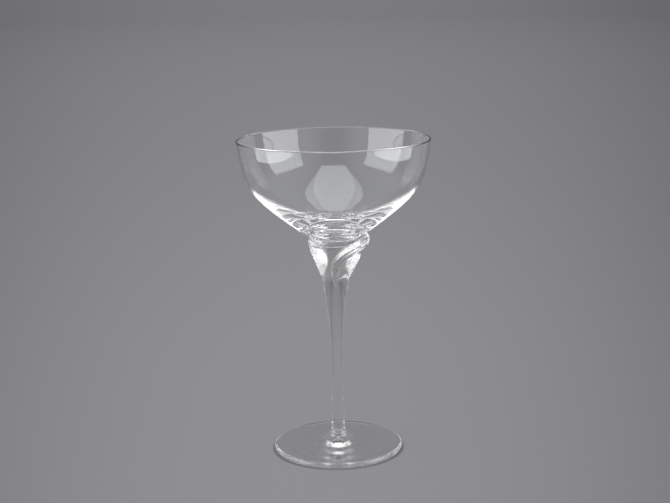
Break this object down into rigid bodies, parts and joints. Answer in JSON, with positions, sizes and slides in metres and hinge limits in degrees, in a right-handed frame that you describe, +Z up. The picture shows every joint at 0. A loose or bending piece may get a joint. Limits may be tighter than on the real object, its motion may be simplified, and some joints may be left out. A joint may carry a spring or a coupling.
{
  "type": "coupe glass",
  "caption": "Stemmed coupe of clear crystal with a wide shallow bowl, a leaf-wrapped slender stem and a round foot.",
  "frame": {"origin": "centre of the foot at the level of the surface that the glass stands on", "axes": "+Z up along the stem's axis, -Y towards the front, where the leaves leave a V-shaped window, +X to the right, where the front leaf's tip is"},
  "size_m": [0.1, 0.1, 0.166],
  "materials": {
    "bowl_crystal": "clear thin blown crystal, fire-polished",
    "stem_crystal": "clear solid drawn crystal, fire-polished",
    "leaf_crystal": "clear crystal with soft moulded veins"
  },
  "bodies": {
    "root": {"bowl": "bowl_crystal", "collar": "stem_crystal", "stem": "stem_crystal", "foot": "stem_crystal", "front_leaf": "leaf_crystal", "right_leaf": "leaf_crystal", "left_leaf": "leaf_crystal", "back_leaf": "leaf_crystal"}
  },
  "joints": []
}
